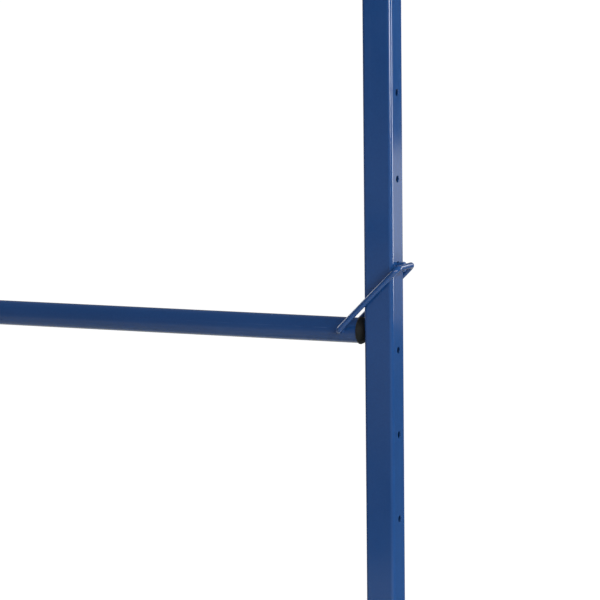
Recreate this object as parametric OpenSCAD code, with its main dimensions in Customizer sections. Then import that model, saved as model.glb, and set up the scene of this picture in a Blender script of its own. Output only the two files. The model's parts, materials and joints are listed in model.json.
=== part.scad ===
// Single-sided cantilever rack: square posts on floor legs, with round arms that hook on from behind.
// Millimetres. X runs along the rack, -Y points to the arm tips, Z is up and the floor is z = 0.

/* [Posts] */
// Outside width of the square post tube
post_w = 40; // [36:1:41]
// Wall thickness of the post tube
post_wall = 2; // [1.5:0.5:4]
// Outside corner radius of the post tube
post_corner = 5; // [3:0.5:8]
// Height of the top of the post tube above the floor
post_top = 1800; // [1750:10:2400]
// Distance between the post centres
post_spacing = 1200; // [600:10:2000]

/* [Hanging holes] */
// Diameter of the holes down the rear face of a post
hole_d = 9; // [6:0.5:14]
// Distance from one hanging hole to the next in a group
hole_pitch = 110; // [90:1:112]
// Height of the lowest hanging hole
hole_first = 390; // [300:1:450]
// Number of holes in the lowest group, and in the highest group
end_group = 2; // [1:1:2]
// Number of holes in the middle group
mid_group = 6; // [4:1:6]
// Hole of the middle group that carries the middle arm, counted from the group's lowest as 1
mid_hole = 4; // [2:1:4]

/* [Arms] */
// Outside diameter of the arm tube
arm_d = 33; // [26:0.5:38]
// Wall thickness of the arm tube
arm_wall = 2; // [1.5:0.5:4]
// Length of the arm tube
arm_len = 600; // [200:10:900]
// Height of the arm's axis below its own hanging hole
arm_drop = 87; // [60:0.5:150]

/* [Arm end caps] */
// Diameter of the domed heel cap that leans on the post
heel_d = 35.5; // [33:0.5:40]
// Length of the heel cap outside the arm tube
heel_len = 13; // [10:0.5:20]
// Length of the straight rim next to the arm tube
heel_rim = 1.5; // [1:0.5:4]
// Diameter of the flat spot where the dome touches the post
heel_flat_d = 12; // [6:0.5:20]
// Thickness of the tip cap's head
tip_head = 4; // [2:0.5:10]
// Depth of both caps' plugs inside the arm tube
plug_len = 16; // [15:1:16]

/* [Bail] */
// Diameter of the round rod the bail is bent from
rod_d = 7.5; // [5:0.5:10]
// Distance between the centrelines of the bail's legs
leg_spacing = 53.5; // [48:0.5:56]
// Distance from the post's rear face to the centreline of the crossing bar
bar_off = 9.6; // [6:0.1:12]
// Distance from the post's front face to the centre of the rod's ends
foot_off = 33.8; // [33.8:0.1:60]
// Height of the rod's ends above the arm's axis
foot_rise = 1.5; // [0:0.1:4]
// Centreline radius of the upper bends
bend_top = 8; // [6:0.5:14]
// Centreline radius of the lower bends
bend_low = 5.5; // [5.5:0.5:10]
// Diameter of the stud that enters the hanging hole
stud_d = 4.5; // [3:0.5:8]
// Diameter of the collar that bears on the post
collar_d = 12; // [8:0.5:20]
// Length the stud reaches past the inside of the post wall
stud_past = 3; // [1:0.5:8]

/* [Floor legs] */
// Height of the rectangular leg tube
leg_h = 60; // [40:1:100]
// Width of the rectangular leg tube
leg_w = 40; // [30:1:60]
// Wall thickness of the leg tube
leg_wall = 2.5; // [1.5:0.5:4]
// Length of leg in front of the post centre
leg_front = 560; // [300:10:800]
// Length of leg behind the post centre
leg_back = 60; // [40:5:200]
// Height of the gusset plate between post and leg
gusset_h = 110; // [60:5:200]
// Thickness of the gusset plate
gusset_t = 5; // [3:1:10]

/* [Base plates] */
// Width of the anchor plate along the rack
plate_w = 160; // [120:5:240]
// Depth of the anchor plate
plate_d = 100; // [80:5:200]
// Thickness of the anchor plate
plate_t = 8; // [5:1:15]
// Diameter of the anchor holes
anchor_d = 11; // [8:0.5:18]
// Distance between anchor holes along the rack
anchor_x = 120; // [80:5:200]
// Distance between anchor holes across the rack
anchor_y = 60; // [40:5:160]

/* [Levelling feet] */
// Diameter of the levelling pad
pad_d = 40; // [30:1:60]
// Thickness of the levelling pad
pad_t = 6; // [4:0.5:10]
// Diameter of the levelling screw
screw_d = 10; // [8:1:16]
// Length of the levelling screw
screw_len = 46; // [20:1:60]
// Distance from the front end of the leg to the levelling screw
screw_in = 40; // [25:5:100]

/* [Cross beams] */
// Height of the beam tube
beam_h = 60; // [30:1:100]
// Depth of the beam tube, front to back
beam_d = 30; // [20:1:38]
// Wall thickness of the beam tube
beam_wall = 2; // [1.5:0.5:4]
// Height of the lower beam's centre
beam_low = 230; // [150:5:400]
// Distance from the top of the post down to the upper beam's centre
beam_top_drop = 70; // [65:5:100]
// Thickness of the beam's end plates
end_t = 5; // [3:1:10]
// Height of the beam's end plates
end_h = 120; // [90:5:200]
// Distance between the two bolts in an end plate
bolt_gap = 92; // [70:2:160]
// Diameter of the beam bolts
bolt_d = 8; // [6:1:12]

/* [Hidden] */
$fn = 96;
// head, plug depth and rib places of the rectangular tube caps, and the clearance round their ribs
cap_head = 4;
cap_plug = 18;
cap_ribs = [3, 9, 15];
cap_gap = 0.2;
// rib places of the round plugs, and the thickness of their closed end
plug_ribs = [3, 8, 13];
plug_floor = 3;
// ribs of both kinds of plug: thickness, how far they stand out, and their own depth
rib_t = 1.2;
rib_out = 0.8;
rib_depth = 2;
// from the bore of a tube to the hollow inside its plug
plug_in = 3;
// radial clearance between a pin and its hole, and between a bolt and its washer
run_gap = 0.05;
washer_gap = 0.2;
// how far a cut runs past the face it opens
over = 1;
// smallest inner corner radius of a tube
min_corner = 0.5;
// hanging holes are counted in pitches above the lowest; one place is left out between two groups
mid_start = end_group + 1;
top_start = mid_start + mid_group + 1;
hole_steps = [
    each [0 : end_group - 1],
    each [mid_start : mid_start + mid_group - 1],
    each [top_start : top_start + end_group - 1]
];
// the lower and upper arms hang in the top hole of their groups
arm_steps = [end_group - 1, mid_start + mid_hole - 1, top_start + end_group - 1];
// the Y position of the post centres puts the rack's bounding box on the origin
y_front = -(post_w / 2 + heel_len + arm_len + tip_head);
y_back = leg_back + cap_head;
post_y = -(y_front + y_back) / 2;
leg_z = plate_t;
post_z = leg_z + leg_h;
stud_drop = (hole_d - stud_d) / 2 - run_gap;
bar_y = post_w / 2 + bar_off;
foot_y = -(post_w / 2 + foot_off);
bail_rise = arm_drop - foot_rise - stud_drop;
bail_run = bar_y - foot_y;
bail_angle = atan2(bail_rise, bail_run);
bail_len = sqrt(bail_rise * bail_rise + bail_run * bail_run);
rod_hole_d = rod_d + 2 * run_gap;
// the rod's ends stop this far inside the arm tube's wall
rod_past = 3;
rod_end_x = arm_d / 2 - arm_wall - rod_past;
beam_top = post_top - beam_top_drop;
beam_len = post_spacing - post_w - 2 * end_t;
bolt_hole_d = bolt_d + 1;
nut_af = bolt_d * 1.625;
nut_h = bolt_d * 0.8;
washer_d = bolt_d * 2;
washer_t = 1.6;
// the heel dome is a slice of this sphere
dome_h = heel_len - heel_rim;
dome_z = (pow(heel_d / 2, 2) - pow(heel_flat_d / 2, 2) + pow(dome_h, 2)) / (2 * dome_h);
dome_r = sqrt(pow(heel_flat_d / 2, 2) + pow(dome_z, 2));
tip_edge = 1.5;
pad_edge = 1.5;
screw_socket = 2;
screw_chamfer = 1;
gusset_cut = 14;
beam_corner = 4;
end_inset = 2;
plate_corner = 8;
bolt_head_h = 5.3;
bolt_past_nut = 3;
insert_flange_d = 18;
insert_flange_t = 1.5;
insert_d = 13;
insert_len = 14;

// Height of the hanging hole that is this many pitches above the lowest
function hole_z(step) = hole_first + step * hole_pitch;

// Height of the hanging hole that arm level n (1 at the bottom) uses
function level_z(n) = hole_z(arm_steps[n - 1]);

// X position of a post: side is -1 for left and 1 for right
function side_x(side) = side * post_spacing / 2;

module blue() {
    color([0.07, 0.13, 0.28]) children();
}

module black() {
    color([0.06, 0.06, 0.06]) children();
}

module zinc() {
    color([0.72, 0.72, 0.70]) children();
}

// Puts children in a frame whose origin is the post centre at floor level
module at_post(side) {
    translate([side_x(side), post_y, 0]) children();
}

// Rectangle with rounded corners, centred
module round_rect(w, h, r) {
    square([w - 2 * r, h], center = true);
    square([w, h - 2 * r], center = true);
    for (x = [-1, 1], y = [-1, 1]) {
        translate([x * (w / 2 - r), y * (h / 2 - r)]) circle(r = r);
    }
}

// Rectangular tube standing on z = 0
module box_tube(w, h, wall, r, len) {
    difference() {
        linear_extrude(len) round_rect(w, h, r);
        translate([0, 0, -over]) linear_extrude(len + 2 * over)
            round_rect(w - 2 * wall, h - 2 * wall, max(r - wall, min_corner));
    }
}

// Plastic insert for a rectangular tube: head above z = 0, hollow ribbed plug below
module box_cap(w, h, wall, r) {
    bore_w = w - 2 * (wall + cap_gap);
    bore_h = h - 2 * (wall + cap_gap);
    bore_r = max(r - wall, min_corner);
    linear_extrude(cap_head) round_rect(w, h, r);
    translate([0, 0, -cap_plug]) difference() {
        linear_extrude(cap_plug) round_rect(bore_w - 2 * rib_out, bore_h - 2 * rib_out, bore_r);
        translate([0, 0, -over]) linear_extrude(cap_plug - over)
            square([bore_w - 2 * plug_in, bore_h - 2 * plug_in], center = true);
    }
    for (z = cap_ribs) {
        translate([0, 0, -z]) difference() {
            linear_extrude(rib_t) round_rect(bore_w, bore_h, bore_r);
            translate([0, 0, -over]) linear_extrude(rib_t + 2 * over)
                square([bore_w - 2 * rib_depth, bore_h - 2 * rib_depth], center = true);
        }
    }
}

module post(side) {
    blue() at_post(side) difference() {
        translate([0, 0, post_z]) box_tube(post_w, post_w, post_wall, post_corner, post_top - post_z);
        for (step = hole_steps) {
            translate([0, post_w / 2 - post_wall - over, hole_z(step)]) rotate([-90, 0, 0])
                cylinder(d = hole_d, h = post_wall + 2 * over);
        }
        for (z = [beam_low, beam_top], dz = [-1, 1]) {
            translate([-post_w, 0, z + dz * bolt_gap / 2]) rotate([0, 90, 0])
                cylinder(d = bolt_hole_d, h = 2 * post_w);
        }
    }
}

module post_cap(side) {
    black() at_post(side) translate([0, 0, post_top]) box_cap(post_w, post_w, post_wall, post_corner);
}

module leg(side) {
    blue() at_post(side) difference() {
        translate([0, leg_back, leg_z + leg_h / 2]) rotate([90, 0, 0])
            box_tube(leg_w, leg_h, leg_wall, post_corner, leg_back + leg_front);
        translate([0, screw_in - leg_front, leg_z - over])
            cylinder(d = insert_d + 2 * run_gap, h = leg_wall + 2 * over);
    }
}

module leg_cap_front(side) {
    black() at_post(side) translate([0, -leg_front, leg_z + leg_h / 2]) rotate([90, 0, 0])
        box_cap(leg_w, leg_h, leg_wall, post_corner);
}

module leg_cap_rear(side) {
    black() at_post(side) translate([0, leg_back, leg_z + leg_h / 2]) rotate([-90, 0, 0])
        box_cap(leg_w, leg_h, leg_wall, post_corner);
}

module base_plate(side) {
    blue() at_post(side) translate([0, leg_back - plate_d / 2, 0]) difference() {
        linear_extrude(plate_t) round_rect(plate_w, plate_d, plate_corner);
        for (x = [-1, 1], y = [-1, 1]) {
            translate([x * anchor_x / 2, y * anchor_y / 2, -over])
                cylinder(d = anchor_d, h = plate_t + 2 * over);
        }
    }
}

module gusset(side) {
    blue() at_post(side) translate([-gusset_t / 2, -post_w / 2, post_z]) rotate([90, 0, 90])
        linear_extrude(gusset_t) polygon([
            [-gusset_cut, 0],
            [0, gusset_cut],
            [0, gusset_h],
            [-gusset_cut, gusset_h],
            [-gusset_h, gusset_cut],
            [-gusset_h, 0]
        ]);
}

module beam(z) {
    blue() translate([-beam_len / 2, post_y, z]) rotate([90, 0, 90])
        box_tube(beam_d, beam_h, beam_wall, beam_corner, beam_len);
}

module end_plate(side, z) {
    inner = side_x(side) - side * (post_w / 2 + end_t / 2);
    blue() translate([inner, post_y, z]) difference() {
        cube([end_t, post_w - 2 * end_inset, end_h], center = true);
        for (dz = [-1, 1]) {
            translate([-end_t, 0, dz * bolt_gap / 2]) rotate([0, 90, 0])
                cylinder(d = bolt_hole_d, h = 2 * end_t);
        }
    }
}

// Runs children at every beam bolt, with local +Z pointing from the rack's end towards its middle
module each_beam_bolt() {
    for (side = [-1, 1], z = [beam_low, beam_top], dz = [-1, 1]) {
        translate([side_x(side) + side * post_w / 2, post_y, z + dz * bolt_gap / 2])
            rotate([0, -side * 90, 0]) children();
    }
}

module beam_bolts() {
    grip = post_w + end_t;
    zinc() each_beam_bolt() {
        translate([0, 0, -washer_t - bolt_head_h])
            cylinder(d = nut_af / cos(30), h = bolt_head_h, $fn = 6);
        translate([0, 0, -washer_t])
            cylinder(d = bolt_d, h = grip + 2 * washer_t + nut_h + bolt_past_nut);
    }
}

module beam_washers() {
    grip = post_w + end_t;
    zinc() each_beam_bolt() {
        for (z = [-washer_t, grip]) {
            translate([0, 0, z]) difference() {
                cylinder(d = washer_d, h = washer_t);
                translate([0, 0, -over]) cylinder(d = bolt_d + 2 * washer_gap, h = washer_t + 2 * over);
            }
        }
    }
}

module beam_nuts() {
    zinc() each_beam_bolt() translate([0, 0, post_w + end_t + washer_t]) difference() {
        cylinder(d = nut_af / cos(30), h = nut_h, $fn = 6);
        translate([0, 0, -over]) cylinder(d = bolt_d + 2 * run_gap, h = nut_h + 2 * over);
    }
}

module leg_inserts() {
    zinc() for (side = [-1, 1]) {
        at_post(side) translate([0, screw_in - leg_front, leg_z]) difference() {
            union() {
                translate([0, 0, -insert_flange_t]) cylinder(d = insert_flange_d, h = insert_flange_t);
                cylinder(d = insert_d, h = insert_len);
            }
            translate([0, 0, -insert_flange_t - over])
                cylinder(d = screw_d + 2 * run_gap, h = insert_len + insert_flange_t + 2 * over);
        }
    }
}

module level_pad(side) {
    black() at_post(side) translate([0, screw_in - leg_front, 0]) difference() {
        union() {
            cylinder(d1 = pad_d - 2 * pad_edge, d2 = pad_d, h = pad_edge);
            translate([0, 0, pad_edge]) cylinder(d = pad_d, h = pad_t - 2 * pad_edge);
            translate([0, 0, pad_t - pad_edge])
                cylinder(d1 = pad_d, d2 = pad_d - 2 * pad_edge, h = pad_edge);
        }
        translate([0, 0, screw_socket]) cylinder(d = screw_d + 2 * run_gap, h = pad_t);
    }
}

module level_screw(side) {
    zinc() at_post(side) translate([0, screw_in - leg_front, screw_socket]) {
        cylinder(d = screw_d, h = screw_len - screw_chamfer);
        translate([0, 0, screw_len - screw_chamfer])
            cylinder(d1 = screw_d, d2 = screw_d - 2 * screw_chamfer, h = screw_chamfer);
    }
}

// Puts children in the arm's frame: origin on the post's centre line at the hanging hole's height
module at_arm(side, n) {
    translate([side_x(side), post_y, level_z(n)]) children();
}

module arm_tube(side, n) {
    blue() at_arm(side, n) difference() {
        translate([0, -post_w / 2 - heel_len, -arm_drop]) rotate([90, 0, 0]) difference() {
            cylinder(d = arm_d, h = arm_len);
            translate([0, 0, -over]) cylinder(d = arm_d - 2 * arm_wall, h = arm_len + 2 * over);
        }
        translate([-arm_d, foot_y, foot_rise - arm_drop]) rotate([0, 90, 0])
            cylinder(d = rod_hole_d, h = 2 * arm_d);
    }
}

// Round plastic plug with sealing ribs, running up from z = 0
module round_plug(bore, len) {
    difference() {
        cylinder(d = bore - 2 * rib_out, h = len);
        translate([0, 0, plug_floor]) cylinder(d = bore - 2 * plug_in, h = len);
    }
    for (z = plug_ribs) {
        translate([0, 0, z]) difference() {
            cylinder(d = bore - 2 * run_gap, h = rib_t);
            translate([0, 0, -over]) cylinder(d = bore - 2 * rib_depth, h = rib_t + 2 * over);
        }
    }
}

module arm_heel_cap(side, n) {
    black() at_arm(side, n) translate([0, -post_w / 2, -arm_drop]) rotate([90, 0, 0]) {
        intersection() {
            translate([0, 0, dome_z]) sphere(r = dome_r);
            cylinder(d = 2 * dome_r, h = dome_h);
        }
        translate([0, 0, dome_h]) cylinder(d = heel_d, h = heel_rim);
        translate([0, 0, heel_len]) round_plug(arm_d - 2 * arm_wall, plug_len);
    }
}

module arm_tip_cap(side, n) {
    black() at_arm(side, n) translate([0, y_front, -arm_drop]) rotate([-90, 0, 0]) {
        cylinder(d1 = arm_d - 2 * tip_edge, d2 = arm_d, h = tip_edge);
        translate([0, 0, tip_edge]) cylinder(d = arm_d, h = tip_head - tip_edge);
        translate([0, 0, tip_head]) round_plug(arm_d - 2 * arm_wall, plug_len);
    }
}

// Quarter bend of rod in the XY plane about the origin, from +X round to +Y
module rod_bend(r) {
    rotate_extrude(angle = 90) translate([r, 0]) circle(d = rod_d);
}

// One half of the bail lying in the XY plane: crossing bar along X at y = 0, leg running to -Y
module bail_half() {
    x = leg_spacing / 2;
    rotate([0, 90, 0]) cylinder(d = rod_d, h = x - bend_top);
    translate([x - bend_top, -bend_top, 0]) rod_bend(bend_top);
    translate([x, -bail_len + bend_low, 0]) rotate([-90, 0, 0])
        cylinder(d = rod_d, h = bail_len - bend_low - bend_top);
    translate([x - bend_low, -bail_len + bend_low, 0]) rotate([0, 0, -90]) rod_bend(bend_low);
    translate([rod_end_x, -bail_len, 0]) rotate([0, 90, 0])
        cylinder(d = rod_d, h = x - bend_low - rod_end_x);
}

module arm_bail(side, n) {
    blue() at_arm(side, n) translate([0, bar_y, -stud_drop]) rotate([bail_angle, 0, 0]) {
        bail_half();
        mirror([1, 0, 0]) bail_half();
    }
}

module arm_stud(side, n) {
    blue() at_arm(side, n) translate([0, post_w / 2, -stud_drop]) rotate([-90, 0, 0]) difference() {
        union() {
            translate([0, 0, -post_wall - stud_past]) cylinder(d = stud_d, h = post_wall + stud_past);
            cylinder(d = collar_d, h = bar_off);
        }
        translate([-collar_d, 0, bar_off]) rotate([0, 90, 0])
            cylinder(d = rod_d + 2 * run_gap, h = 2 * collar_d);
    }
}

post(-1);  // post_left
post(1);  // post_right
post_cap(-1);  // post_cap_left
post_cap(1);  // post_cap_right
leg(-1);  // leg_left
leg(1);  // leg_right
leg_cap_front(-1);  // leg_cap_front_left
leg_cap_front(1);  // leg_cap_front_right
leg_cap_rear(-1);  // leg_cap_rear_left
leg_cap_rear(1);  // leg_cap_rear_right
base_plate(-1);  // base_plate_left
base_plate(1);  // base_plate_right
gusset(-1);  // gusset_left
gusset(1);  // gusset_right
beam(beam_low);  // beam_lower
beam(beam_top);  // beam_upper
end_plate(-1, beam_low);  // end_plate_lower_left
end_plate(1, beam_low);  // end_plate_lower_right
end_plate(-1, beam_top);  // end_plate_upper_left
end_plate(1, beam_top);  // end_plate_upper_right
beam_bolts();
beam_washers();
beam_nuts();
leg_inserts();
level_pad(-1);  // level_pad_left
level_pad(1);  // level_pad_right
level_screw(-1);  // level_screw_left
level_screw(1);  // level_screw_right
arm_tube(-1, 1);  // arm_tube_l1
arm_heel_cap(-1, 1);  // arm_heel_cap_l1
arm_tip_cap(-1, 1);  // arm_tip_cap_l1
arm_bail(-1, 1);  // arm_bail_l1
arm_stud(-1, 1);  // arm_stud_l1
arm_tube(-1, 2);  // arm_tube_l2
arm_heel_cap(-1, 2);  // arm_heel_cap_l2
arm_tip_cap(-1, 2);  // arm_tip_cap_l2
arm_bail(-1, 2);  // arm_bail_l2
arm_stud(-1, 2);  // arm_stud_l2
arm_tube(-1, 3);  // arm_tube_l3
arm_heel_cap(-1, 3);  // arm_heel_cap_l3
arm_tip_cap(-1, 3);  // arm_tip_cap_l3
arm_bail(-1, 3);  // arm_bail_l3
arm_stud(-1, 3);  // arm_stud_l3
arm_tube(1, 1);  // arm_tube_r1
arm_heel_cap(1, 1);  // arm_heel_cap_r1
arm_tip_cap(1, 1);  // arm_tip_cap_r1
arm_bail(1, 1);  // arm_bail_r1
arm_stud(1, 1);  // arm_stud_r1
arm_tube(1, 2);  // arm_tube_r2
arm_heel_cap(1, 2);  // arm_heel_cap_r2
arm_tip_cap(1, 2);  // arm_tip_cap_r2
arm_bail(1, 2);  // arm_bail_r2
arm_stud(1, 2);  // arm_stud_r2
arm_tube(1, 3);  // arm_tube_r3
arm_heel_cap(1, 3);  // arm_heel_cap_r3
arm_tip_cap(1, 3);  // arm_tip_cap_r3
arm_bail(1, 3);  // arm_bail_r3
arm_stud(1, 3);  // arm_stud_r3
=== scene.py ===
"""Looks for the cantilever rack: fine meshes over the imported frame, in the light of a product photo.

Everything is in metres, in the frame's own axes: X along the rack, -Y to the arm tips, Z up.
"""

import json
import math

import bmesh
import bpy
from mathutils import Matrix, Vector

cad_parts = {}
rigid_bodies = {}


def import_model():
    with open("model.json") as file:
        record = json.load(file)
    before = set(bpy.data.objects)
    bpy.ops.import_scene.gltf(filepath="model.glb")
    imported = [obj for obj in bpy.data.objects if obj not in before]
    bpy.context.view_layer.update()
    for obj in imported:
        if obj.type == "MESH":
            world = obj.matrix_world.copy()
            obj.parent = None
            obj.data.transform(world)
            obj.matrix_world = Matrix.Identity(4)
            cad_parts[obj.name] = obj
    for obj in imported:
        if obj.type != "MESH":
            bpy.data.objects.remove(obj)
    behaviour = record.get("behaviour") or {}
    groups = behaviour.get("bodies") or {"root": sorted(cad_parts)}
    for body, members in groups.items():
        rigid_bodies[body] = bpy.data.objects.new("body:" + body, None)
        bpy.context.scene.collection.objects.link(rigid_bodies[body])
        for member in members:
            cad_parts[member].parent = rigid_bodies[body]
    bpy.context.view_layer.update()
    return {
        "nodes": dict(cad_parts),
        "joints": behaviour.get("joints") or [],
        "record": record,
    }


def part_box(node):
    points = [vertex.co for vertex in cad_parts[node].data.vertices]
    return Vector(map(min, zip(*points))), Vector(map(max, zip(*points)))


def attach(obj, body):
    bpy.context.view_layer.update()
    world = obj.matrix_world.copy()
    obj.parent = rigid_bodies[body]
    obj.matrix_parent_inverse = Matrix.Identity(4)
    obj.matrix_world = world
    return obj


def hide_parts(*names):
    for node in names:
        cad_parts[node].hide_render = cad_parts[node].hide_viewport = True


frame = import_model()

MM = 0.001
SIDES = {"left": -1, "right": 1}
LEVELS = (1, 2, 3)

# The sizes below are the ones that the boxes of the CAD nodes don't show.

# Tubes and plates: walls, corner radii and holes.
POST_WALL = 2.0 * MM
POST_CORNER = 5.0 * MM
HOLE_R = 4.5 * MM
LEG_WALL = 2.5 * MM
LEG_CORNER = 5.0 * MM
BEAM_WALL = 2.0 * MM
BEAM_CORNER = 4.0 * MM
END_CORNER = 3.0 * MM
PLATE_CORNER = 8.0 * MM
ANCHOR_R = 5.5 * MM
ANCHOR_HALF_X = 60.0 * MM
ANCHOR_HALF_Y = 30.0 * MM
GUSSET_CUT = 14.0 * MM
ARM_WALL = 2.0 * MM

# Gap round a piece that turns or slides in another.
RUN_GAP = 0.05 * MM

# Beam bolts: the plain stretch of the shank runs from under the head.
BOLT_R = 4.0 * MM
BOLT_HOLE_R = 4.5 * MM
BOLT_GAP = 92.0 * MM
BOLT_HEAD_H = 5.3 * MM
BOLT_PAST_NUT = 3.0 * MM
BOLT_PITCH = 1.25 * MM
BOLT_PLAIN = 32.0 * MM

# Nuts and washers. The flat ring of a hexagon is this share of its width, and its chamfer is in degrees.
NUT_AF = 13.0 * MM
NUT_H = 6.4 * MM
HEX_FLAT = 0.96
HEX_CHAMFER = 28
HEX_POINTS = 48
WASHER_T = 1.6 * MM
WASHER_R = 8.0 * MM
WASHER_GAP = 0.2 * MM

# Threads: depth and flank places as shares of the pitch, plain shank and tip as shares of the radius.
THREAD_DEPTH = 0.6
THREAD_FLANKS = (0.10, 0.50, 0.62)
THREAD_SHANK = 0.98
THREAD_TIP = 0.92

# Bail and stud: the rod's ends reach past the arm tube's wall.
ROD_R = 3.75 * MM
ROD_PAST = 3.0 * MM
BEND_TOP = 8.0 * MM
BEND_LOW = 5.5 * MM
STUD_R = 2.25 * MM
COLLAR_R = 6.0 * MM

# Caps in square tubes. The crown is given as insets at depths below the top, and the flat as a share.
CAP_HEAD = 4.0 * MM
CAP_CROWN = ((0.0, CAP_HEAD), (0.0, 1.8 * MM), (0.45 * MM, 0.9 * MM), (1.5 * MM, 0.35 * MM))
CAP_FLAT = 0.55
CAP_GAP = 0.2 * MM
CAP_PLUG = 18.0 * MM
CAP_RIBS = (3.0 * MM, 9.0 * MM, 15.0 * MM)
RIB_T = 1.2 * MM
RIB_DEPTH = 2.0 * MM
PLUG_GAP = 0.5 * MM
PLUG_WALL = 3.0 * MM
PLUG_CORNER = 0.5 * MM

# Caps in the round arm tubes.
PLUG_RIBS = (3.0 * MM, 8.0 * MM, 13.0 * MM)
PLUG_FLOOR = 3.0 * MM
RIB_OUT = 0.8 * MM
HEEL_LEN = 13.0 * MM
HEEL_RIM = 1.5 * MM
HEEL_FLAT_R = 6.0 * MM
DOME_STEPS = 14
TIP_HEAD = 4.0 * MM
TIP_EDGE = 1.5 * MM

# Levelling feet: the insert in the leg, the screw and the pad with its grip and its dished top.
INSERT_R = 6.5 * MM
INSERT_LEN = 14.0 * MM
INSERT_FLANGE_R = 9.0 * MM
INSERT_FLANGE_T = 1.5 * MM
SCREW_R = 5.0 * MM
SCREW_PITCH = 1.5 * MM
PAD_EDGE = 1.5 * MM
SCALLOPS = 24
SCALLOP_DEPTH = 0.5 * MM
DISH_R = 11.0 * MM
DISH_DEPTH = 0.8 * MM
SOCKET_R = 5.2 * MM
SOCKET_FLOOR = 2.0 * MM

# What the camera sees of the floor: between these distances from the rack's middle it lightens to pure
# white, from the glow that it has near the rack.
FLOOR_PLAIN = 1.3
FLOOR_WHITE = 2.7
FLOOR_GLOW = 0.40
FLOOR_SIZE = 150

# What the light sees of the floor: it is pale up to the first distance and dark past the second one.
FLOOR_LIT = 2.2
FLOOR_DARK = 3.1
DARK_COLOUR = (0.08, 0.08, 0.08)

# What the paint mirrors of the floor: a glowing part at the rack's left front, and a weaker ring at its
# right that starts and ends between these distances.
LEFT_GLOW = 0.40
LEFT_X = (-0.8, -2.2)
LEFT_Y = (0.9, -0.3)
RING_GLOW = 0.32
RING_START = (3.2, 4.6)
RING_END = (10.0, 26.0)
RING_X = (1.0, 2.5)


# ---------------------------------------------------------------- mesh building


def centre(node):
    """Middle of a CAD node's box."""
    low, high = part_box(node)
    return (low + high) / 2


def rounded_rect(w, h, r, steps=10):
    """Points of a rounded rectangle about the origin, counter-clockwise."""
    points = []
    for quarter, (sx, sy) in enumerate(((1, 1), (-1, 1), (-1, -1), (1, -1))):
        for i in range(steps + 1):
            a = math.radians(90) * (quarter + i / steps)
            points.append((sx * (w / 2 - r) + r * math.cos(a), sy * (h / 2 - r) + r * math.sin(a)))
    return points


def ring(bm, points):
    """Adds one vertex for each point and returns them."""
    return [bm.verts.new(p) for p in points]


def bridge(bm, a, b):
    """Quads between two rings of the same length."""
    for i in range(len(a)):
        j = (i + 1) % len(a)
        bm.faces.new((a[i], a[j], b[j], b[i]))


def tube(outline, bore, length):
    """Open-ended tube along +Z, from an outer and an inner outline with as many points."""
    bm = bmesh.new()
    rings = []
    for points, z in ((outline, 0), (outline, length), (bore, length), (bore, 0)):
        rings.append(ring(bm, [(x, y, z) for x, y in points]))
    for a, b in zip(rings, rings[1:] + rings[:1]):
        bridge(bm, a, b)
    return bm


def plate(outline, thickness):
    """Solid plate on z = 0 with the given outline."""
    bm = bmesh.new()
    low = ring(bm, [(x, y, 0) for x, y in outline])
    high = ring(bm, [(x, y, thickness) for x, y in outline])
    bridge(bm, low, high)
    bm.faces.new(list(reversed(low)))
    bm.faces.new(high)
    return bm


def lathe(profile, segments=64, closed=False, radius=None):
    """Turns (radius, z) points about Z. An open profile gets a flat face at each end, and a closed one
    makes a ring. radius(r, angle) may change the radius round the turn."""
    bm = bmesh.new()
    rings = []
    for r, z in profile:
        points = []
        for i in range(segments):
            a = 2 * math.pi * i / segments
            rr = radius(r, a) if radius else r
            points.append((rr * math.cos(a), rr * math.sin(a), z))
        rings.append(ring(bm, points))
    for a, b in zip(rings, rings[1:]):
        bridge(bm, a, b)
    if closed:
        bridge(bm, rings[-1], rings[0])
    else:
        bm.faces.new(list(reversed(rings[0])))
        bm.faces.new(rings[-1])
    return bm


def arc(cx, cz, r, a0, a1, steps):
    """Points of an arc in a lathe profile, angles in degrees."""
    turn = [math.radians(a0 + (a1 - a0) * i / steps) for i in range(steps + 1)]
    return [(cx + r * math.cos(a), cz + r * math.sin(a)) for a in turn]


def sweep(bm, path, radius, side, segments, closed=False):
    """Round rod along a path. side is a vector that the path never follows. radius is a number or a
    function of the distance run. An open rod gets flat ends."""
    rings = []
    run = 0.0
    n = len(path)
    for i, p in enumerate(path):
        before = path[i - 1] if i or closed else p
        after = path[(i + 1) % n] if i < n - 1 or closed else p
        along = (after - before).normalized()
        u = along.cross(side).normalized()
        v = along.cross(u)
        r = radius(run) if callable(radius) else radius
        points = []
        for k in range(segments):
            a = 2 * math.pi * k / segments
            points.append(p + u * (r * math.cos(a)) + v * (r * math.sin(a)))
        rings.append(ring(bm, points))
        if i < n - 1:
            run += (path[i + 1] - p).length
    for a, b in zip(rings, rings[1:]):
        bridge(bm, a, b)
    if closed:
        bridge(bm, rings[-1], rings[0])
    else:
        bm.faces.new(list(reversed(rings[0])))
        bm.faces.new(rings[-1])


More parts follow.
